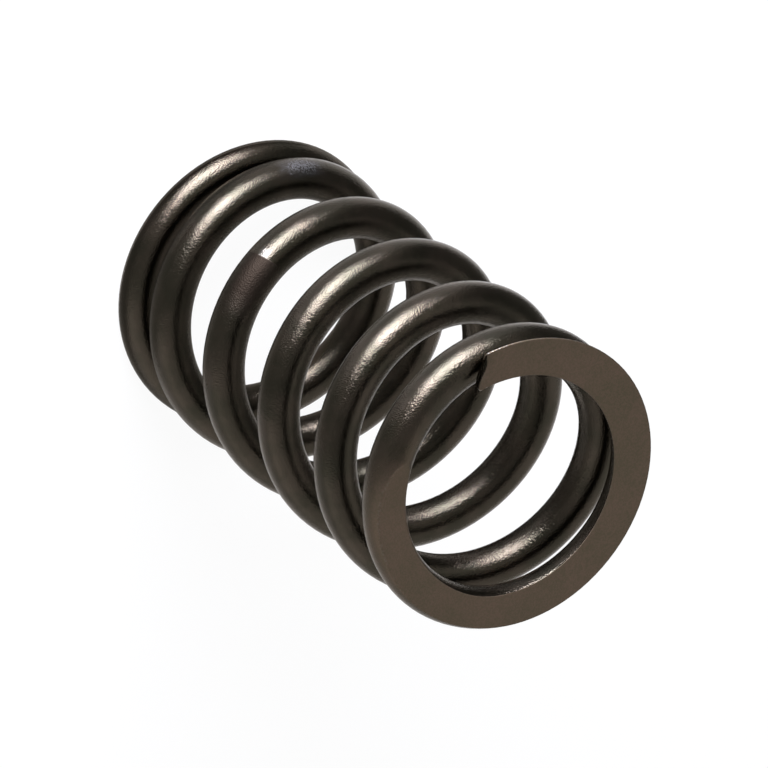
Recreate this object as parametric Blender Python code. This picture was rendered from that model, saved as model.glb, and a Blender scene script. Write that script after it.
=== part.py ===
"""Engine valve spring: one length of round spring wire, coiled cold around a mandrel.

The wire winds right-handed about +Z. Both ends are closed, which means that the last
part of a turn lies almost against its neighbour, and both are then ground flat and
square to the axis, so that each end thins out to a narrow chisel tip. Between the
closed ends the coils open up smoothly to one even pitch.

The grinding wheels squeeze the spring while they cut. That presses the end coil level,
so that once the spring is free again the far part of each flat falls away with the wire.

Units are metres. The spring stands on its ground seat end, with the origin on its axis.
"""

import math

import bmesh
import bpy
from mathutils import Vector

# Driving dimensions of the spring
wire_diameter = 0.0040
mean_coil_diameter = 0.0252
free_length = 0.0503
total_turns = 6.255

# Shape of each closed end, in turns along the wire and metres across it
closed_turns = 0.55
opening_turns = 1.00
closed_gap = 0.0003
tip_thickness = 0.0010

# Each end springs outwards at its tip and draws in a little behind it, after the coiler
# cuts the wire at a slant
end_spread = 0.00045
spread_turns = 0.90
swing_turns = 0.72
cut_slant = math.radians(25.0)
tip_chamfer = 0.0002

# Past steady_depth over the wire's centre the ground flat follows the pressed wire. It
# leans inwards there, and runs out between these turns from the tip
steady_depth = 0.00125
steady_ease = 0.0001
run_out_start = 0.79
run_out_end = 0.91
lean_start = 0.60
flat_lean = math.radians(12.0)

# Direction in which the wire starts on the seat end, as a share of a turn from +X
start_turn = 0.414

# Fineness of the solid
sections_per_turn = 40
wire_sides = 16
smooth_angle = math.radians(32.0)

# Finish of the wire
steel_colour = (0.085, 0.075, 0.062, 1.0)
steel_roughness = 0.38
steel_metallic = 1.0


def opened_turns(turns):
    """Turns that count as fully open, this many turns past the closed part.

    The pitch opens along a smooth step over opening_turns, and this is its integral.
    """
    along = min(max(turns / opening_turns, 0.0), 1.0)
    return opening_turns * (along**3 - along**4 / 2.0) + max(turns - opening_turns, 0.0)


def pitches():
    """Pitch of the closed ends and of the open coils, in metres for each turn.

    The closed pitch leaves closed_gap between the tip and the coil beside it, and
    the open pitch then brings the ground ends to free_length apart.
    """
    first_turn_rise = wire_diameter + closed_gap
    whole_rise = free_length + wire_diameter - 2.0 * tip_thickness
    end_turns = 2.0 * closed_turns + opening_turns
    opened = opened_turns(1.0 - closed_turns)
    kept = 1.0 - opened
    open_pitch = (whole_rise * kept - end_turns * first_turn_rise) / (
        (total_turns - end_turns) * kept - end_turns * opened
    )
    closed_pitch = (first_turn_rise - open_pitch * opened) / kept
    return closed_pitch, open_pitch


def wire_height(turns, closed_pitch, open_pitch):
    """Rise of the wire's centre over this many turns from its start on the seat end."""
    to_end = total_turns - turns
    past_seat = opened_turns(turns - closed_turns)
    before_retainer = opened_turns(total_turns - closed_turns) - opened_turns(to_end - closed_turns)
    open_share = past_seat + before_retainer - turns
    return closed_pitch * turns + (open_pitch - closed_pitch) * open_share


def coil_radius(turns):
    """Distance from the axis to the wire's centre, wider at each tip and narrower behind it."""
    from_tip = min(turns, total_turns - turns)
    near_tip = max(1.0 - from_tip / spread_turns, 0.0)
    swing = math.cos(math.pi * from_tip / swing_turns)
    return mean_coil_diameter / 2.0 + end_spread * near_tip * swing


def wire_centre(turns, heights):
    """Point on the wire's centre line, with the seat end's ground face at height 0."""
    angle = 2.0 * math.pi * (start_turn + turns)
    radius = coil_radius(turns)
    first_height = tip_thickness - wire_diameter / 2.0
    height = first_height + wire_height(turns, *heights)
    return Vector((radius * math.cos(angle), radius * math.sin(angle), height))


def smooth_step(value, low, high):
    """0 up to low, 1 from high on, and a smooth rise between them."""
    share = min(max((value - low) / (high - low), 0.0), 1.0)
    return share**2 * (3.0 - 2.0 * share)


def ground_flat(from_tip, plane_height):
    """Height of the ground flat over the wire's centre, and its lean across the wire.

    The flat lies in the wheel's plane up to steady_depth. From there on the pressed wire
    is ground to the same depth all along, until the flat runs out.
    """
    past_steady = max(plane_height - steady_depth + steady_ease, 0.0)
    if past_steady < 2.0 * steady_ease:
        pressed = past_steady**2 / (4.0 * steady_ease)
    else:
        pressed = past_steady - steady_ease
    pressed = pressed * (1.0 - smooth_step(from_tip, run_out_start, run_out_end))
    lean = flat_lean * smooth_step(from_tip, lean_start, run_out_end)
    return (plane_height - pressed) * math.cos(lean), lean


def wire_section(bm, turns, section_radius, heights, slant=0.0):
    """Ring of vertices round the wire, with one side on the ground flat where there is one.

    It stands square to the wire's run, or at the slant of a cut end.
    """
    step = 0.001
    along = (wire_centre(turns + step, heights) - wire_centre(turns - step, heights)).normalized()
    centre = wire_centre(turns, heights)
    outward = Vector((centre.x, centre.y, 0.0)).normalized()
    outward = (outward - along * outward.dot(along)).normalized()
    upward = outward.cross(along)
    cut_outward = outward - along * math.tan(slant)
    on_seat_half = turns < total_turns / 2.0
    facing = -1.0 if on_seat_half else 1.0
    plane = 0.0 if on_seat_half else free_length
    plane_height = (plane - centre.z) / (facing * upward.z)
    flat_height, lean = ground_flat(min(turns, total_turns - turns), plane_height)
    widest_corner = math.pi / 2.0 - math.pi / wire_sides
    corner = math.asin(min(max(flat_height / section_radius, -1.0), 1.0))
    corner = min(corner, widest_corner)
    points = []
    for side in range(wire_sides):
        angle = math.pi - corner + (math.pi + 2.0 * corner) * side / (wire_sides - 1) + lean
        across = math.cos(angle) * section_radius
        towards = math.sin(angle) * section_radius
        point = centre + cut_outward * across + upward * towards * facing
        on_flat = side in (0, wire_sides - 1) and flat_height == plane_height and corner < widest_corner
        point.z = plane if on_flat else min(max(point.z, 0.0), free_length)
        points.append(point)
    if on_seat_half:
        points.reverse()
        points = points[wire_sides // 2 :] + points[: wire_sides // 2]
    return [bm.verts.new(point) for point in points]


def coil_wire(bm, heights):
    """The whole wire as a closed tube, with a chamfer round each cut end."""
    wire_radius = wire_diameter / 2.0
    chamfered_radius = wire_radius - tip_chamfer
    chamfer_turns = tip_chamfer / (math.pi * mean_coil_diameter)
    count = math.ceil(sections_per_turn * total_turns)
    rings = [wire_section(bm, 0.0, chamfered_radius, heights, cut_slant)]
    rings.append(wire_section(bm, chamfer_turns, wire_radius, heights, cut_slant))
    for step in range(1, count):
        rings.append(wire_section(bm, total_turns * step / count, wire_radius, heights))
    rings.append(wire_section(bm, total_turns - chamfer_turns, wire_radius, heights, cut_slant))
    rings.append(wire_section(bm, total_turns, chamfered_radius, heights, cut_slant))
    for near, far in zip(rings, rings[1:]):
        for side in range(wire_sides):
            after = (side + 1) % wire_sides
            bm.faces.new((near[side], near[after], far[after], far[side]))
    bm.faces.new(reversed(rings[0]))
    bm.faces.new(rings[-1])


def steel_finish():
    """Dark, oil-tempered and peened spring steel."""
    steel = bpy.data.materials.new("spring_steel")
    steel.use_nodes = True
    surface = steel.node_tree.nodes["Principled BSDF"]
    surface.inputs["Base Color"].default_value = steel_colour
    surface.inputs["Roughness"].default_value = steel_roughness
    surface.inputs["Metallic"].default_value = steel_metallic
    return steel


def valve_spring():
    """The finished spring as one solid."""
    heights = pitches()
    bm = bmesh.new()
    coil_wire(bm, heights)
    bmesh.ops.recalc_face_normals(bm, faces=bm.faces[:])
    bmesh.ops.triangulate(bm, faces=bm.faces[:])
    mesh = bpy.data.meshes.new("valve_spring")
    bm.to_mesh(mesh)
    bm.free()
    mesh.shade_smooth()
    mesh.set_sharp_from_angle(angle=smooth_angle)
    mesh.materials.append(steel_finish())
    spring = bpy.data.objects.new("valve_spring", mesh)
    bpy.context.scene.collection.objects.link(spring)
    return spring


for leftover in list(bpy.data.objects):
    bpy.data.objects.remove(leftover, do_unlink=True)

valve_spring()
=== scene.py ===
"""Looks of the engine valve spring: dark peened wire, ground ends, camera, floor and studio light."""

import math

import bpy
from mathutils import Matrix, Vector


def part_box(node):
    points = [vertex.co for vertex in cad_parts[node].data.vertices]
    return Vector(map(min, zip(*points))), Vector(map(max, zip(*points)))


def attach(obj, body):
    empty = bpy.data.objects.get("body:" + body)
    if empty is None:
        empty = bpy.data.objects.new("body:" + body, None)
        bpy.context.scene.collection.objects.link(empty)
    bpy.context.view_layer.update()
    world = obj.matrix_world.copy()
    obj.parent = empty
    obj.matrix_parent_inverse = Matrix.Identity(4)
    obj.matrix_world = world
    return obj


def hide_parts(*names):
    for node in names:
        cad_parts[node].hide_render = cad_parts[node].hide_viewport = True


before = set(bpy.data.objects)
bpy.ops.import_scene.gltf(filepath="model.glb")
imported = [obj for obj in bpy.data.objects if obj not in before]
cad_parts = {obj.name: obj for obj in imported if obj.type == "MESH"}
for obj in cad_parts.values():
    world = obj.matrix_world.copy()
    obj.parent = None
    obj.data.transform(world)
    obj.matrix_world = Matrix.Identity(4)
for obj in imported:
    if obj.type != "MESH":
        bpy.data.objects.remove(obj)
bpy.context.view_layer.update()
free_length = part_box("valve_spring")[1].z

# The camera stands as in the photograph: a long lens from well off, looking down on the
# spring at a slant and rolled over, so that the upright spring seems to lie on its side
# with its upper ground end turned towards the viewer.
camera_elevation = math.radians(50.826)
camera_roll = math.radians(127.8206)
camera_distance = 0.5883
lens_length = 292.4
film_width = 36.0
aim_right = 0.00062
aim_down = 0.00023

level = Vector((1.0, 0.0, 0.0))
upright = Vector((0.0, math.sin(camera_elevation), math.cos(camera_elevation)))
view_back = Vector((0.0, -math.cos(camera_elevation), math.sin(camera_elevation)))
view_right = level * math.cos(camera_roll) + upright * math.sin(camera_roll)
view_up = upright * math.cos(camera_roll) - level * math.sin(camera_roll)
spring_middle = Vector((0.0, 0.0, free_length / 2.0))
aim = spring_middle + view_right * aim_right - view_up * aim_down

camera = bpy.data.objects.new("camera", bpy.data.cameras.new("camera"))
camera.data.sensor_width = film_width
camera.data.lens = lens_length
camera.data.clip_start = 0.01
camera.data.clip_end = 20.0
camera.matrix_world = Matrix((view_right, view_up, view_back)).transposed().to_4x4()
camera.location = aim + view_back * camera_distance
bpy.context.scene.collection.objects.link(camera)
bpy.context.scene.camera = camera


# Finish of the steel: oil-tempered wire under a thin dark bronze oxide, peened all over with
# fine shot, whose shallow overlapping dents break the highlights up into sparks. The ground
# flats are matt and browner, and their edges are worn bright in places.
class Formula:
    """A socket in a node tree that can be added, multiplied and so on, as in a written formula."""

    def __init__(self, tree, socket):
        self.tree = tree
        self.socket = socket

    def joined(self, operation, *others):
        """The result of a maths node fed with this socket and the others."""
        node = self.tree.nodes.new("ShaderNodeMath")
        node.operation = operation
        for place, value in zip(node.inputs, (self, *others)):
            feed(self.tree, value, place)
        return Formula(self.tree, node.outputs[0])

    def __add__(self, other):
        return self.joined("ADD", other)

    def __radd__(self, other):
        return self.joined("ADD", other)

    def __sub__(self, other):
        return self.joined("SUBTRACT", other)

    def __rsub__(self, other):
        return self.joined("MULTIPLY_ADD", -1.0, other)

    def __mul__(self, other):
        return self.joined("MULTIPLY", other)

    def __rmul__(self, other):
        return self.joined("MULTIPLY", other)

    def __truediv__(self, other):
        return self.joined("DIVIDE", other)

    def __rtruediv__(self, other):
        return self.joined("POWER", -1.0) * other

    def __pow__(self, power):
        return self.joined("POWER", power)

    def clipped(self, low, high):
        """This value kept between low and high."""
        return self.joined("MAXIMUM", low).joined("MINIMUM", high)

    def cosine(self):
        return self.joined("COSINE")

    def sine(self):
        return self.joined("SINE")


def feed(tree, value, place):
    """Links a socket or formula to a node's input, or sets a plain value there."""
    if isinstance(value, Formula):
        tree.links.new(value.socket, place)
    elif isinstance(value, bpy.types.NodeSocket):
        tree.links.new(value, place)
    else:
        place.default_value = value


def add_node(tree, kind, settings=None, **inputs):
    """A node with its settings made and its inputs fed, named with _ for each space."""
    node = tree.nodes.new(kind)
    for name, value in (settings or {}).items():
        setattr(node, name, value)
    for name, value in inputs.items():
        feed(tree, value, node.inputs[name.replace("_", " ")])
    return node


def new_group(name, kind, given, results):
    """A node group with named inputs and outputs, and its input and output nodes."""
    tree = bpy.data.node_groups.new(name, kind)
    for label, (socket_type, value) in given.items():
        socket = tree.interface.new_socket(label, in_out="INPUT", socket_type=socket_type)
        if value is not None:
            socket.default_value = value
    for label, socket_type in results.items():
        tree.interface.new_socket(label, in_out="OUTPUT", socket_type=socket_type)
    return tree, tree.nodes.new("NodeGroupInput"), tree.nodes.new("NodeGroupOutput")


number = "NodeSocketFloat"
colour = "NodeSocketColor"
steel_skin, skin_in, skin_out = new_group(
    "peened_steel_skin",
    "ShaderNodeTree",
    {
        "Ground Share": (number, 0.0),
        "Worn Share": (number, 0.0),
        "Dent Size": (number, 0.00014),
        "Grit Size": (number, 0.000168),
        "Mottle Size": (number, 0.000182),
        "Patch Size": (number, 0.004),
        "Chip Size": (number, 0.00025),
        "Blur Size": (number, 0.0005),
        "Dark Oxide": (colour, (0.0335, 0.0301, 0.0222, 1.0)),
        "Light Oxide": (colour, (0.0490, 0.0401, 0.0310, 1.0)),
        "Dark Flat": (colour, (0.072, 0.0590, 0.0395, 1.0)),
        "Light Flat": (colour, (0.097, 0.0685, 0.0505, 1.0)),
        "Rubbed Oxide": (colour, (0.0165, 0.0122, 0.0092, 1.0)),
        "Scuffed Oxide": (colour, (0.140, 0.138, 0.147, 1.0)),
        "Bare Steel": (colour, (0.40, 0.38, 0.35, 1.0)),
        "Wire Roughness": (number, 0.10),
        "Grit Roughness": (number, 0.10),
        "Flat Roughness": (number, 0.52),
        "Bare Roughness": (number, 0.35),
        "Rubbed Roughness": (number, 0.56),
        "Flat Dents": (number, 0.25),
    },
    {"Color": colour, "Roughness": number, "Height": number},
)
noise_roughness = 0.6
place = steel_skin.nodes.new("ShaderNodeTexCoord").outputs["Object"]
given = {name: Formula(steel_skin, socket) for name, socket in skin_in.outputs.items() if name}


def skin_noise(grain, detail):
    """Noise on the steel with grains of this size."""
    node = add_node(
        steel_skin,
        "ShaderNodeTexNoise",
        Vector=place,
        Scale=1.0 / grain,
        Detail=detail,
        Roughness=noise_roughness,
    )
    return Formula(steel_skin, node.outputs["Fac"])


def skin_step(value, low, high):
    """0 up to low, 1 from high on, and a smooth rise between them."""
    node = add_node(
        steel_skin,
        "ShaderNodeMapRange",
        {"interpolation_type": "SMOOTHSTEP"},
        Value=value,
        From_Min=low,
        From_Max=high,
    )
    return Formula(steel_skin, node.outputs["Result"])


def skin_fade(value, low, high):
    """1 up to low, 0 from high on, and a smooth fall between them."""
    return 1.0 - skin_step(value, low, high)


def skin_mix(share, first, second):
    """The first colour where the share is 0, the second where it is 1, and a mix between.

    Its sockets go by number, because the node has others with the same names.
    """
    node = steel_skin.nodes.new("ShaderNodeMix")
    node.data_type = "RGBA"
    feed(steel_skin, share, node.inputs[0])
    feed(steel_skin, first, node.inputs[6])
    feed(steel_skin, second, node.inputs[7])
    return Formula(steel_skin, node.outputs[2])


def lies_from(point, direction):
    """How far the steel lies along a direction from a point, and how far off that line."""
    nodes = steel_skin.nodes
    offset, along, length = (nodes.new("ShaderNodeVectorMath") for each in range(3))
    offset.operation, along.operation, length.operation = "SUBTRACT", "DOT_PRODUCT", "LENGTH"
    feed(steel_skin, place, offset.inputs[0])
    offset.inputs[1].default_value = point
    feed(steel_skin, offset.outputs["Vector"], along.inputs[0])
    along.inputs[1].default_value = direction
    feed(steel_skin, offset.outputs["Vector"], length.inputs[0])
    forward = Formula(steel_skin, along.outputs["Value"])
    distance = Formula(steel_skin, length.outputs["Value"])
    return forward, (distance * distance - forward * forward).joined("MAXIMUM", 0.0) ** 0.5


# Dents and grit roughen the whole skin. Broad patches and a fine mottle tint it, and worn
# edges are chipped.
dent_smoothness = 0.4
grit_detail = 2.0
patch_detail = 4.0
patch_edges = (0.35, 0.65)
mottle_edges = (0.4, 0.6)
mottle_weight = 0.6
chip_edges = (0.49, 0.60)

dents = add_node(
    steel_skin,
    "ShaderNodeTexVoronoi",
    {"feature": "SMOOTH_F1"},
    Vector=place,
    Scale=1.0 / given["Dent Size"],
    Smoothness=dent_smoothness,
)
grit = skin_noise(given["Grit Size"], grit_detail)
mottle = skin_step(skin_noise(given["Mottle Size"], grit_detail), *mottle_edges)
patch_share = skin_step(skin_noise(given["Patch Size"], patch_detail), *patch_edges)
chips = skin_step(skin_noise(given["Chip Size"], grit_detail), *chip_edges)
wear_share = given["Worn Share"] * chips
wire_colour = skin_mix(patch_share, given["Dark Oxide"], given["Light Oxide"])
flat_tint = patch_share * (1.0 - mottle_weight) + mottle * mottle_weight
flat_colour = skin_mix(flat_tint, given["Dark Flat"], given["Light Flat"])
skin_colour = skin_mix(given["Ground Share"], wire_colour, flat_colour)

# One coil has a dull rubbed band that begins on a sharp line, with a bare spot before it,
# and another coil is scuffed grey on top. Each pair says where a mark begins to fade and
# where it has gone, in metres along its line or off it. Noise makes the outlines ragged.
blur_detail = 3.0
band_start = (-0.00266, -0.01398, 0.01743)
band_direction = (0.983, 0.019, 0.180)
band_line = (-0.0001, 0.0001)
band_end = (0.0045, 0.0090)
band_side = (0.0014, 0.0032)
band_ragged_end = 0.002
band_ragged_side = 0.0012
spot_start = (-0.0011, -0.0006)
spot_side = (0.0003, 0.0006)
spot_bareness = 0.12
scuff_middle = (-0.0119, -0.0079, 0.00562)
scuff_direction = (0.532, -0.836, 0.134)
scuff_ends = (0.0016, 0.0042)
scuff_side = (0.0006, 0.0021)
scuff_ragged_ends = 0.002
scuff_ragged_side = 0.0010
scuff_grit = (0.20, 0.70)
scuff_dulling = 0.5

blur = skin_noise(given["Blur Size"], blur_detail)
band_along, band_across = lies_from(band_start, band_direction)
past_line = skin_step(band_along, *band_line)
band_share = past_line * skin_fade(band_along + blur * band_ragged_end, *band_end)
band_share = band_share * skin_fade(band_across + blur * band_ragged_side, *band_side)
spot_share = skin_step(band_along, *spot_start) * (1.0 - past_line)
spot_share = spot_share * skin_fade(band_across, *spot_side)
scuff_along, scuff_across = lies_from(scuff_middle, scuff_direction)
scuff_share = skin_fade(scuff_along.joined("ABSOLUTE") + blur * scuff_ragged_ends, *scuff_ends)
scuff_share = scuff_share * skin_fade(scuff_across + blur * scuff_ragged_side, *scuff_side)
scuff_share = scuff_share * skin_step(grit, *scuff_grit)
bare_share = (wear_share + spot_share * spot_bareness).clipped(0.0, 1.0)
skin_colour = skin_mix(band_share, skin_colour, given["Rubbed Oxide"])
skin_colour = skin_mix(scuff_share, skin_colour, given["Scuffed Oxide"])
skin_colour = skin_mix(bare_share, skin_colour, given["Bare Steel"])

rough = given["Wire Roughness"] + given["Grit Roughness"] * grit
rough = rough + (given["Flat Roughness"] - rough) * given["Ground Share"]
rough = rough + (given["Bare Roughness"] - rough) * wear_share
rough = rough + (given["Rubbed Roughness"] - rough) * (band_share + scuff_share * scuff_dulling)
height = Formula(steel_skin, dents.outputs["Distance"]) + grit
height = height * (1.0 - given["Ground Share"] * (1.0 - given["Flat Dents"]))
feed(steel_skin, skin_colour, skin_out.inputs["Color"])
feed(steel_skin, rough, skin_out.inputs["Roughness"])
feed(steel_skin, height, skin_out.inputs["Height"])

# The steel itself is all metal. Its edges, seen at a slant, mirror a little less than white.
dent_depth = 0.0000225
slant_tint = (0.90, 0.86, 0.81, 1.0)
spring_steel = bpy.data.materials.new("spring_steel")
spring_steel.use_nodes = True
steel_tree = spring_steel.node_tree
steel_surface = steel_tree.nodes["Principled BSDF"]
steel_surface.inputs["Metallic"].default_value = 1.0
steel_surface.inputs["Specular Tint"].default_value = slant_tint
skin = steel_tree.nodes.new("ShaderNodeGroup")
skin.node_tree = steel_skin
for attribute_name, label in (("ground_share", "Ground Share"), ("worn_edge", "Worn Share")):
    stored = add_node(steel_tree, "ShaderNodeAttribute", {"attribute_name": attribute_name})
    feed(steel_tree, stored.outputs["Fac"], skin.inputs[label])
bump = add_node(
    steel_tree,
    "ShaderNodeBump",
    Height=skin.outputs["Height"],
    Distance=dent_depth,
    Strength=1.0,
)
feed(steel_tree, skin.outputs["Color"], steel_surface.inputs["Base Color"])
feed(steel_tree, skin.outputs["Roughness"], steel_surface.inputs["Roughness"])
feed(steel_tree, bump.outputs["Normal"], steel_surface.inputs["Normal"])

# The spring: one length of round steel wire, coiled right-handed with closed ends that are
# ground flat. It is swept section by section, and each section is a circle that is cut off
# at the ground face. Each half of the spring is swept inwards from its own tip.
wire_diameter = 0.0040
mean_coil_diameter = 0.0252
total_turns = 6.255
start_turn = 0.414
closed_turns = 0.55
opening_turns = 1.00
closed_gap = 0.0003
tip_thickness = 0.0010

# Each tip springs outwards, and the end coil draws in a little behind it.
end_spread = 0.00045
spread_turns = 0.90
swing_turns = 0.72

# The coiler's cut runs in a curve across the wire: up to cut_reach each way along it, with
# the steepest part at cut_middle, and square again from about cut_width off that. The mesh
# is skewed with it up to slant_turns from the tip.
cut_reach = 0.00088
cut_width = 0.0009
cut_middle = -0.00037
slant_turns = 0.05
tip_chamfer = 0.00012

# The flat is plane down to steady_depth over the wire's centre. Past that it follows the
# wire, leans inwards from lean_start, and runs out between the two run_out turns.
steady_depth = 0.00125
steady_ease = 0.0001
run_out_start = 0.79
run_out_end = 0.91
lean_start = 0.60
flat_lean = math.radians(12.0)
ground_edge_round = 0.00010
run_out_edge_round = 0.00045

# How far the brown of the flat and the wear of its edge reach, along the wire and round it.
flat_fade_angle = 0.30
far_edge_wear = 0.05
top_band = 0.45
dust_turns = 0.04
worn_start = 0.010
worn_end = 0.045

# Fineness of the mesh. The columns on the flat crowd towards its edges by flat_easing.
sections_per_turn = 96
arc_columns = 48
corner_columns = 4
flat_columns = 12
flat_easing = 0.97
tangent_step = 0.001
cap_rows = 3
cap_shoulder = 0.96
merge_distance = 0.0000015


def spring_pitches():
    """Pitch of the closed ends and of the open coils.

    The closed pitch leaves closed_gap between the tip and the coil beside it, and the open
    pitch then brings the ground ends to the free length apart.
    """
    opening = (1.0 - closed_turns) / opening_turns
    opened = opening_turns * (opening**3 - opening**4 / 2.0)
    first_turn_rise = wire_diameter + closed_gap
    whole_rise = free_length + wire_diameter - 2.0 * tip_thickness
    end_turns = 2.0 * closed_turns + opening_turns
    kept = 1.0 - opened
    open_pitch = (whole_rise * kept - end_turns * first_turn_rise) / (
        (total_turns - end_turns) * kept - end_turns * opened
    )
    return (first_turn_rise - open_pitch * opened) / kept, open_pitch


closed_pitch, open_pitch = spring_pitches()
spring_sizes = {
    "Wire Diameter": wire_diameter,
    "Mean Coil Diameter": mean_coil_diameter,
    "Free Length": free_length,
    "Total Turns": total_turns,
    "Closed Turns": closed_turns,
    "Opening Turns": opening_turns,
    "Closed Pitch": closed_pitch,
    "Open Pitch": open_pitch,
    "Tip Thickness": tip_thickness,
    "End Spread": end_spread,
    "Spread Turns": spread_turns,
    "Swing Turns": swing_turns,
    "Cut Width": cut_width,
    "Cut Middle": cut_middle,
    "Tip Chamfer": tip_chamfer,
    "Steady Depth": steady_depth,
    "Steady Ease": steady_ease,
    "Run-out Start": run_out_start,
    "Run-out End": run_out_end,
    "Lean Start": lean_start,
    "Flat Lean": flat_lean,
    "Ground Edge Round": ground_edge_round,
    "Run-out Edge Round": run_out_edge_round,
    "Start Turn": start_turn,
}
size_sockets = {name: (number, value) for name, value in spring_sizes.items()}

# Centre line of the wire, at a number of turns counted from the retainer end's tip. It holds
# from there to the middle of the spring.
centre_line, centre_in, centre_out = new_group(
    "wire_centre_line",
    "GeometryNodeTree",
    {"Turns": (number, 0.0), **size_sockets},
    {"Centre": "NodeSocketVector"},
)
size = {name: Formula(centre_line, socket) for name, socket in centre_in.outputs.items() if name}
turns = size["Turns"]
past_closed = turns - size["Closed Turns"]
opening_share = (past_closed / size["Opening Turns"]).clipped(0.0, 1.0)
opened_turns = size["Opening Turns"] * (opening_share**3.0 - opening_share**4.0 / 2.0)
opened_turns = opened_turns + (past_closed - size["Opening Turns"]).joined("MAXIMUM", 0.0)
rise = size["Closed Pitch"] * turns + (size["Open Pitch"] - size["Closed Pitch"]) * opened_turns
depth = size["Tip Thickness"] - size["Wire Diameter"] / 2.0 + rise
near_tip = (1.0 - turns / size["Spread Turns"]).joined("MAXIMUM", 0.0)
swing = (turns / size["Swing Turns"] * math.pi).cosine()
radius = size["Mean Coil Diameter"] / 2.0 + size["End Spread"] * near_tip * swing
angle = (size["Start Turn"] + size["Total Turns"] - turns) * math.tau
centre_point = add_node(
    centre_line,
    "ShaderNodeCombineXYZ",
    X=radius * angle.cosine(),
    Y=radius * angle.sine(),
    Z=size["Free Length"] - depth,
)
feed(centre_line, centre_point.outputs[0], centre_out.inputs["Centre"])


def vector_node(tree, operation, *values):
    """A vector maths node's result."""
    node = tree.nodes.new("ShaderNodeVectorMath")
    node.operation = operation
    for slot, value in zip(node.inputs, values):
        feed(tree, value, slot)
    return node.outputs["Value" if operation in ("DOT_PRODUCT", "LENGTH") else "Vector"]


def scaled(tree, vector, factor):
    """A vector times a factor."""
    node = tree.nodes.new("ShaderNodeVectorMath")
    node.operation = "SCALE"
    feed(tree, vector, node.inputs[0])
    feed(tree, factor, node.inputs["Scale"])
    return node.outputs["Vector"]


# Half of the wire, from the retainer end's tip to the middle of the spring. A grid is laid
# along the wire in rows and round it in columns: over the round part, a rounded corner, the
# flat and the other corner. The first rows close the cut face at the tip.
columns = arc_columns + 2 * corner_columns + flat_columns + 1
half_rows = cap_rows + math.ceil(sections_per_turn * total_turns / 2.0) + 1
half_wire, half_in, half_out = new_group(
    "half_of_the_wire",
    "GeometryNodeTree",
    {"Cut Reach": (number, cut_reach), **size_sockets},
    {"Geometry": "NodeSocketGeometry"},
)
size = {name: Formula(half_wire, socket) for name, socket in half_in.outputs.items() if name}
grid = add_node(
    half_wire,
    "GeometryNodeMeshGrid",
    Size_X=1.0,
    Size_Y=1.0,
    Vertices_X=half_rows,
    Vertices_Y=columns,
)
grid_point = half_wire.nodes.new("GeometryNodeInputPosition").outputs[0]
grid_place = add_node(half_wire, "ShaderNodeSeparateXYZ", Vector=grid_point)
row = ((Formula(half_wire, grid_place.outputs["X"]) + 0.5) * float(half_rows - 1)).joined("ROUND")
column = ((Formula(half_wire, grid_place.outputs["Y"]) + 0.5) * float(columns - 1)).joined("ROUND")


def even_share(value, first, count):
    """0 up to the first row or column, 1 from this many further on, and even between."""
    return ((value - float(first)) / float(count)).clipped(0.0, 1.0)


coil_length = size["Mean Coil Diameter"] * math.pi
chamfer_turns = size["Tip Chamfer"] / coil_length
swept_share = even_share(row, cap_rows, half_rows - 1 - cap_rows)
on_cap = (float(cap_rows) - row).clipped(0.0, 1.0)
half_turns = size["Total Turns"] / 2.0
row_turns = chamfer_turns * (1.0 - on_cap) + (half_turns - chamfer_turns) * swept_share
drawn_in = on_cap * size["Tip Chamfer"]
cap_scale = even_share(row, 0, 1) * cap_shoulder + even_share(row, 1, 1) * (1.0 - cap_shoulder)

arc_share = even_share(column, 0, arc_columns)
first_corner = even_share(column, arc_columns, corner_columns)
flat_share = even_share(column, arc_columns + corner_columns, flat_columns)
second_corner = even_share(column, arc_columns + corner_columns + flat_columns, corner_columns)
flat_share = flat_share - (flat_share * math.tau).sine() * (flat_easing / math.tau)


def centre_at(turns):
    """The wire's centre line at these turns from the tip."""
    node = half_wire.nodes.new("GeometryNodeGroup")
    node.node_tree = centre_line
    feed(half_wire, turns, node.inputs["Turns"])
    for name in spring_sizes:
        feed(half_wire, size[name], node.inputs[name])
    return node.outputs["Centre"]


def smooth_step(value, low, high):
    """0 up to low, 1 from high on, and a smooth rise between them."""
    share = ((value - low) / (high - low)).clipped(0.0, 1.0)
    return share * share * (3.0 - share * 2.0)


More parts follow.
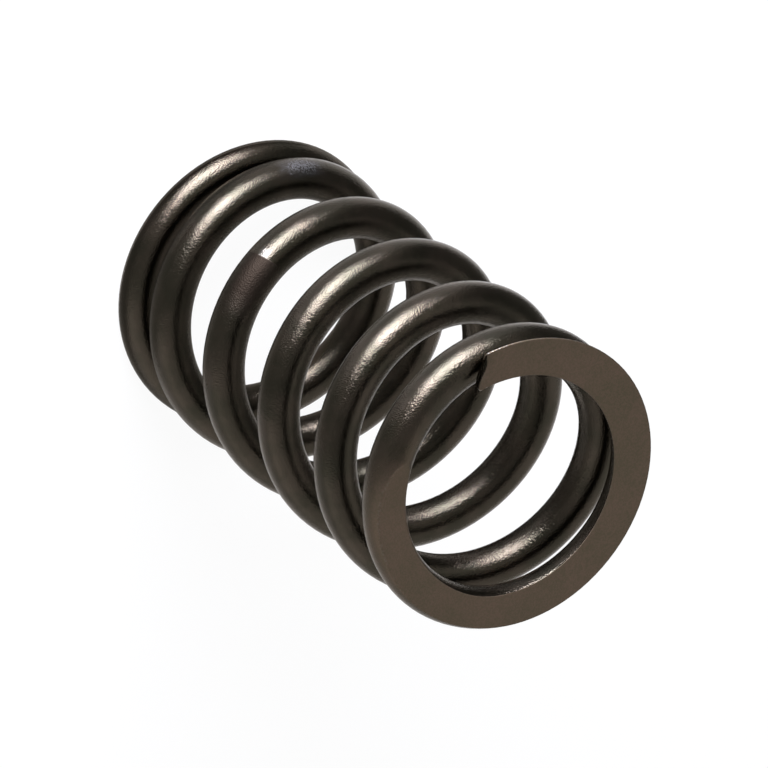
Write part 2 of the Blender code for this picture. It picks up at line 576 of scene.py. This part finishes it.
def section(turns):
    """Centre and axes of the wire's section, and the place of this column's point in it.

    The last result is the angle from the flat's middle round to its edge.
    """
    centre = centre_at(turns)
    ahead = centre_at(turns - tangent_step)
    behind = centre_at(turns + tangent_step)
    along = vector_node(half_wire, "NORMALIZE", vector_node(half_wire, "SUBTRACT", ahead, behind))
    level_centre = vector_node(half_wire, "MULTIPLY", centre, (1.0, 1.0, 0.0))
    outward = vector_node(half_wire, "NORMALIZE", level_centre)
    along_part = scaled(half_wire, along, vector_node(half_wire, "DOT_PRODUCT", outward, along))
    outward = vector_node(half_wire, "SUBTRACT", outward, along_part)
    outward = vector_node(half_wire, "NORMALIZE", outward)
    upward = vector_node(half_wire, "CROSS_PRODUCT", outward, along)
    centre_parts = add_node(half_wire, "ShaderNodeSeparateXYZ", Vector=centre)
    upward_parts = add_node(half_wire, "ShaderNodeSeparateXYZ", Vector=upward)
    room = size["Free Length"] - Formula(half_wire, centre_parts.outputs["Z"])
    plane_height = room / Formula(half_wire, upward_parts.outputs["Z"])
    past_steady = (plane_height - size["Steady Depth"] + size["Steady Ease"]).joined("MAXIMUM", 0.0)
    eased = past_steady.joined("MINIMUM", size["Steady Ease"] * 2.0)
    pressed = eased * eased / (size["Steady Ease"] * 4.0) + past_steady - eased
    pressed = pressed * (1.0 - smooth_step(turns, size["Run-out Start"], size["Run-out End"]))
    lean_angle = size["Flat Lean"] * smooth_step(turns, size["Lean Start"], size["Run-out End"])
    ground_height = (plane_height - pressed) * lean_angle.cosine()
    straight_outward, straight_upward = outward, upward
    outward = vector_node(
        half_wire,
        "ADD",
        scaled(half_wire, straight_outward, lean_angle.cosine()),
        scaled(half_wire, straight_upward, lean_angle.sine()),
    )
    upward = vector_node(
        half_wire,
        "SUBTRACT",
        scaled(half_wire, straight_upward, lean_angle.cosine()),
        scaled(half_wire, straight_outward, lean_angle.sine()),
    )
    wire_radius = size["Wire Diameter"] / 2.0
    whole_radius = wire_radius - drawn_in
    flat_height = ground_height.joined("MINIMUM", wire_radius) - drawn_in
    more_round = size["Run-out Edge Round"] - size["Ground Edge Round"]
    run_in = smooth_step(turns, size["Lean Start"], size["Run-out Start"])
    edge_round = size["Ground Edge Round"] + more_round * run_in
    core_radius = whole_radius - edge_round
    core_height = flat_height - edge_round
    corner_angle = (core_height / core_radius).clipped(-1.0, 1.0).joined("ARCSINE")
    spare_angle = math.pi / 2.0 - corner_angle
    arc_angle = math.pi - corner_angle + (math.pi + 2.0 * corner_angle) * arc_share
    face_angle = arc_angle + spare_angle * (first_corner + second_corner)
    flat_run = core_radius * corner_angle.cosine() * 2.0 * flat_share
    across = core_radius * arc_angle.cosine() - flat_run + edge_round * face_angle.cosine()
    upright_place = core_radius * arc_angle.sine() + edge_round * face_angle.sine()
    middle = (flat_height - whole_radius) / 2.0
    across = across * cap_scale
    upright_place = middle + (upright_place - middle) * cap_scale
    return centre, outward, upward, across, upright_place, spare_angle


near_cut = (1.0 - row_turns / slant_turns).joined("MAXIMUM", 0.0)
first_across = section(row_turns)[3]
cut_curve = ((first_across - size["Cut Middle"]) / size["Cut Width"]).joined("TANH")
cut_shift = size["Cut Reach"] * cut_curve * near_cut / coil_length
centre, outward, upward, across, upright_place, spare_angle = section(row_turns + cut_shift)
place_in_section = vector_node(
    half_wire, "ADD", scaled(half_wire, outward, across), scaled(half_wire, upward, upright_place)
)
surface_point = vector_node(half_wire, "ADD", centre, place_in_section)
surface_parts = add_node(half_wire, "ShaderNodeSeparateXYZ", Vector=surface_point)
kept_height = Formula(half_wire, surface_parts.outputs["Z"]).joined("MINIMUM", size["Free Length"])
kept_point = add_node(
    half_wire,
    "ShaderNodeCombineXYZ",
    X=surface_parts.outputs["X"],
    Y=surface_parts.outputs["Y"],
    Z=kept_height,
)


def middle_share(share):
    """1 where a share is half, and down to 0 where it is 0 or 1."""
    return share * (1.0 - share) * 4.0


# Two values go along with each point, for the finish: how far it lies on the ground flat or
# on the browned wire where that runs out, and how far on the flat's worn edge.
flat_fade = (spare_angle / flat_fade_angle).clipped(0.0, 1.0)
past_first = (first_corner * float(corner_columns)).clipped(0.0, 1.0)
before_second = ((1.0 - second_corner) * float(corner_columns)).clipped(0.0, 1.0)
ground_share = past_first * before_second * flat_fade * (1.0 - on_cap)
near_top = ((arc_share - 0.5).joined("ABSOLUTE") * 2.0 - top_band) / (1.0 - top_band)
beyond = smooth_step(row_turns, size["Lean Start"], size["Run-out Start"])
dust_end = size["Run-out End"] + dust_turns
beyond = beyond * (1.0 - smooth_step(row_turns, size["Run-out Start"], dust_end))
dusted = near_top.clipped(0.0, 1.0) * beyond
ground_share = ground_share + (dusted - ground_share * dusted)
near_worn_tip = 1.0 - smooth_step(row_turns, worn_start, worn_end)
edge_wear = far_edge_wear + (1.0 - far_edge_wear) * near_worn_tip
mid_corner = middle_share(first_corner) + middle_share(second_corner)
edge_share = mid_corner * flat_fade * edge_wear * (1.0 - on_cap)
carried = grid.outputs["Mesh"]
for attribute_name, value in (("ground_share", ground_share), ("worn_edge", edge_share)):
    store = add_node(
        half_wire,
        "GeometryNodeStoreNamedAttribute",
        {"data_type": "FLOAT", "domain": "POINT"},
        Geometry=carried,
        Name=attribute_name,
        Value=value,
    )
    carried = store.outputs[0]
swept = add_node(
    half_wire,
    "GeometryNodeSetPosition",
    Geometry=carried,
    Position=kept_point.outputs[0],
)
feed(half_wire, swept.outputs[0], half_out.inputs["Geometry"])

# The whole spring: the other half is the same wire turned end for end about a level line
# through the middle of the spring. Its cut leans the other way, as one cut makes both ends.
coil_spring, coil_in, coil_out = new_group(
    "coil_spring",
    "GeometryNodeTree",
    {
        "Cut Reach": (number, cut_reach),
        **size_sockets,
        "Steel": ("NodeSocketMaterial", None),
    },
    {"Geometry": "NodeSocketGeometry"},
)
size = {name: Formula(coil_spring, socket) for name, socket in coil_in.outputs.items() if name}


def half_spring(reach):
    """One half of the wire, with its cut leaning by this much."""
    node = coil_spring.nodes.new("GeometryNodeGroup")
    node.node_tree = half_wire
    feed(coil_spring, reach, node.inputs["Cut Reach"])
    for name in spring_sizes:
        feed(coil_spring, size[name], node.inputs[name])
    return node.outputs["Geometry"]


middle_turn = size["Start Turn"] + size["Total Turns"] / 2.0
turn_over = add_node(
    coil_spring,
    "ShaderNodeCombineXYZ",
    X=math.pi,
    Y=0.0,
    Z=middle_turn * (2.0 * math.tau),
)
lift = add_node(coil_spring, "ShaderNodeCombineXYZ", X=0.0, Y=0.0, Z=size["Free Length"])
turned_half = add_node(
    coil_spring,
    "GeometryNodeTransform",
    Geometry=half_spring(size["Cut Reach"] * -1.0),
    Translation=lift.outputs[0],
    Rotation=turn_over.outputs[0],
)
both_halves = coil_spring.nodes.new("GeometryNodeJoinGeometry")
feed(coil_spring, half_spring(size["Cut Reach"]), both_halves.inputs[0])
feed(coil_spring, turned_half.outputs[0], both_halves.inputs[0])
welded = add_node(
    coil_spring,
    "GeometryNodeMergeByDistance",
    Geometry=both_halves.outputs[0],
    Distance=merge_distance,
)
smooth = add_node(coil_spring, "GeometryNodeSetShadeSmooth", Geometry=welded.outputs[0])
realized = add_node(coil_spring, "GeometryNodeRealizeInstances", Geometry=smooth.outputs[0])
dressed = add_node(
    coil_spring,
    "GeometryNodeSetMaterial",
    Geometry=realized.outputs[0],
    Material=size["Steel"],
)
feed(coil_spring, dressed.outputs[0], coil_out.inputs["Geometry"])

wire_stock = bpy.data.objects.new("wire_stock", bpy.data.meshes.new("wire_stock"))
coiling = wire_stock.modifiers.new("coiling", "NODES")
coiling.node_group = coil_spring
inputs = [item for item in coil_spring.interface.items_tree if item.in_out == "INPUT"]
sockets = {item.name: item.identifier for item in inputs}
for name, value in spring_sizes.items():
    coiling[sockets[name]] = value
coiling[sockets["Cut Reach"]] = cut_reach
coiling[sockets["Steel"]] = spring_steel
bpy.context.scene.collection.objects.link(wire_stock)
evaluated = wire_stock.evaluated_get(bpy.context.evaluated_depsgraph_get())
wire_mesh = bpy.data.meshes.new_from_object(evaluated)
bpy.data.objects.remove(wire_stock)
spring_wire = bpy.data.objects.new("spring_wire", wire_mesh)
bpy.context.scene.collection.objects.link(spring_wire)
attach(spring_wire, "root")
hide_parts("valve_spring")

# Floor and room: a plain white studio with a matt floor. The floor shows nearly white to the
# camera, half white in the steel, and keeps the spring's shadow. The room's own light is
# dim, and white only where the camera or the steel sees it.
half_floor = 6.0
floor_colour = (0.85, 0.85, 0.85, 1.0)
white = (1.0, 1.0, 1.0, 1.0)
plain_white_share = 0.94
mirrored_white_share = 0.5
room_light = 0.4


def ray_share(tree, seen, mirrored):
    """One value for what the camera sees, also through glass, and another for mirror images.

    It is 0 for all other light.
    """
    path = tree.nodes.new("ShaderNodeLightPath")
    seen_ray = Formula(tree, path.outputs["Is Camera Ray"])
    seen_ray = (seen_ray + Formula(tree, path.outputs["Is Transmission Ray"])).clipped(0.0, 1.0)
    mirrored_ray = Formula(tree, path.outputs["Is Glossy Ray"]) * (1.0 - seen_ray)
    return seen_ray * seen + mirrored_ray * mirrored


floor_mesh = bpy.data.meshes.new("floor")
signs = ((-1.0, -1.0), (1.0, -1.0), (1.0, 1.0), (-1.0, 1.0))
floor_corners = [(x * half_floor, y * half_floor, 0.0) for x, y in signs]
floor_mesh.from_pydata(floor_corners, [], [(0, 1, 2, 3)])
floor = bpy.data.objects.new("floor", floor_mesh)
bpy.context.scene.collection.objects.link(floor)
floor_paint = bpy.data.materials.new("floor_paint")
floor_paint.use_nodes = True
floor_tree = floor_paint.node_tree
floor_surface = floor_tree.nodes["Principled BSDF"]
floor_surface.inputs["Base Color"].default_value = floor_colour
floor_surface.inputs["Roughness"].default_value = 1.0
floor_surface.inputs["Specular IOR Level"].default_value = 0.0
plain_white = add_node(floor_tree, "ShaderNodeEmission", Color=white, Strength=1.0)
floor_mix = floor_tree.nodes.new("ShaderNodeMixShader")
floor_share = ray_share(floor_tree, plain_white_share, mirrored_white_share)
feed(floor_tree, floor_share, floor_mix.inputs[0])
feed(floor_tree, floor_surface.outputs[0], floor_mix.inputs[1])
feed(floor_tree, plain_white.outputs[0], floor_mix.inputs[2])
feed(floor_tree, floor_mix.outputs[0], floor_tree.nodes["Material Output"].inputs["Surface"])
floor_mesh.materials.append(floor_paint)

world = bpy.data.worlds.new("studio")
world.use_nodes = True
bpy.context.scene.world = world
sky = world.node_tree
sky_strength = room_light + ray_share(sky, 1.0 - room_light, 1.0 - room_light)
sky.nodes["Background"].inputs["Color"].default_value = white
feed(sky, sky_strength, sky.nodes["Background"].inputs["Strength"])

# Key light: a round soft box to the left of the upright spring and a little over its middle,
# which is overhead in the rolled view of the camera. Its slightly cool image in the round
# wire is the long highlight on each coil.
key_direction = Vector((-0.573, -0.766, 0.288)).normalized()
key_distance = 0.35
key_diameter = 0.25
key_power = 6.45
key_colour = (0.84, 0.87, 1.0)


def soft_box(name, shape, width, height, power, direction, distance):
    """An area lamp that faces the middle of the spring from a direction and distance."""
    lamp = bpy.data.lights.new(name, "AREA")
    lamp.shape = shape
    lamp.size = width
    lamp.size_y = height
    lamp.energy = power
    box = bpy.data.objects.new(name, lamp)
    box.location = spring_middle + direction * distance
    box.rotation_mode = "QUATERNION"
    box.rotation_quaternion = direction.to_track_quat("Z", "Y")
    bpy.context.scene.collection.objects.link(box)
    return lamp


key_lamp = soft_box(
    "key_soft_box",
    "DISK",
    key_diameter,
    key_diameter,
    key_power,
    key_direction,
    key_distance,
)
key_lamp.color = key_colour

# Fill light: a wide and weak soft box to the right of the upright spring, which is below it
# in the camera's view. It lifts the shaded side of each coil a little.
fill_direction = Vector((0.985, -0.06, 0.17)).normalized()
fill_distance = 0.50
fill_width = 0.75
fill_height = 0.42
fill_power = 0.40
soft_box(
    "fill_soft_box",
    "RECTANGLE",
    fill_width,
    fill_height,
    fill_power,
    fill_direction,
    fill_distance,
)

# Grey screens stand close to the spring, in front, overhead, under it and behind, where only
# the steel mirrors them. Each has its direction in degrees from +X, its brightness, and rows
# of a distance from the axis, a height and a half width, which its faces join up.
screen_black = (0.02, 0.02, 0.02, 1.0)
screens = {
    "front_screen": (
        -60.0,
        0.60,
        [(0.018, 0.0006, 0.018), (0.060, 0.0006, 0.024), (0.060, 0.075, 0.026)],
    ),
    "over_screen": (
        -65.0,
        0.45,
        [(0.060, 0.075, 0.026), (0.035, 0.115, 0.034), (-0.020, 0.125, 0.040)],
    ),
    "under_screen": (
        0.0,
        0.40,
        [
            (-0.014, 0.0004, 0.012),
            (-0.008, 0.0004, 0.018),
            (0.010, 0.0004, 0.018),
            (0.018, 0.0004, 0.012),
        ],
    ),
    "back_screen": (
        150.0,
        0.25,
        [(0.060, 0.0006, 0.046), (0.060, 0.080, 0.046)],
    ),
}
for screen_name, (screen_azimuth, screen_brightness, screen_rows) in screens.items():
    screen_paint = bpy.data.materials.new(screen_name)
    screen_paint.use_nodes = True
    screen_surface = screen_paint.node_tree.nodes["Principled BSDF"]
    screen_surface.inputs["Base Color"].default_value = screen_black
    screen_surface.inputs["Specular IOR Level"].default_value = 0.0
    screen_surface.inputs["Emission Color"].default_value = white
    screen_surface.inputs["Emission Strength"].default_value = screen_brightness
    azimuth = math.radians(screen_azimuth)
    towards = Vector((math.cos(azimuth), math.sin(azimuth), 0.0))
    sideways = Vector((-towards.y, towards.x, 0.0))
    points = []
    for reach, rise, half_width in screen_rows:
        row_middle = towards * reach + Vector((0.0, 0.0, rise))
        points.append(row_middle - sideways * half_width)
        points.append(row_middle + sideways * half_width)
    firsts = range(0, 2 * len(screen_rows) - 2, 2)
    faces = [(first, first + 1, first + 3, first + 2) for first in firsts]
    screen_mesh = bpy.data.meshes.new(screen_name)
    screen_mesh.from_pydata(points, [], faces)
    screen_mesh.materials.append(screen_paint)
    screen = bpy.data.objects.new(screen_name, screen_mesh)
    screen.visible_camera = False
    screen.visible_diffuse = False
    screen.visible_shadow = False
    bpy.context.scene.collection.objects.link(screen)

# Colours are shown as they are written.
bpy.context.scene.view_settings.view_transform = "Standard"
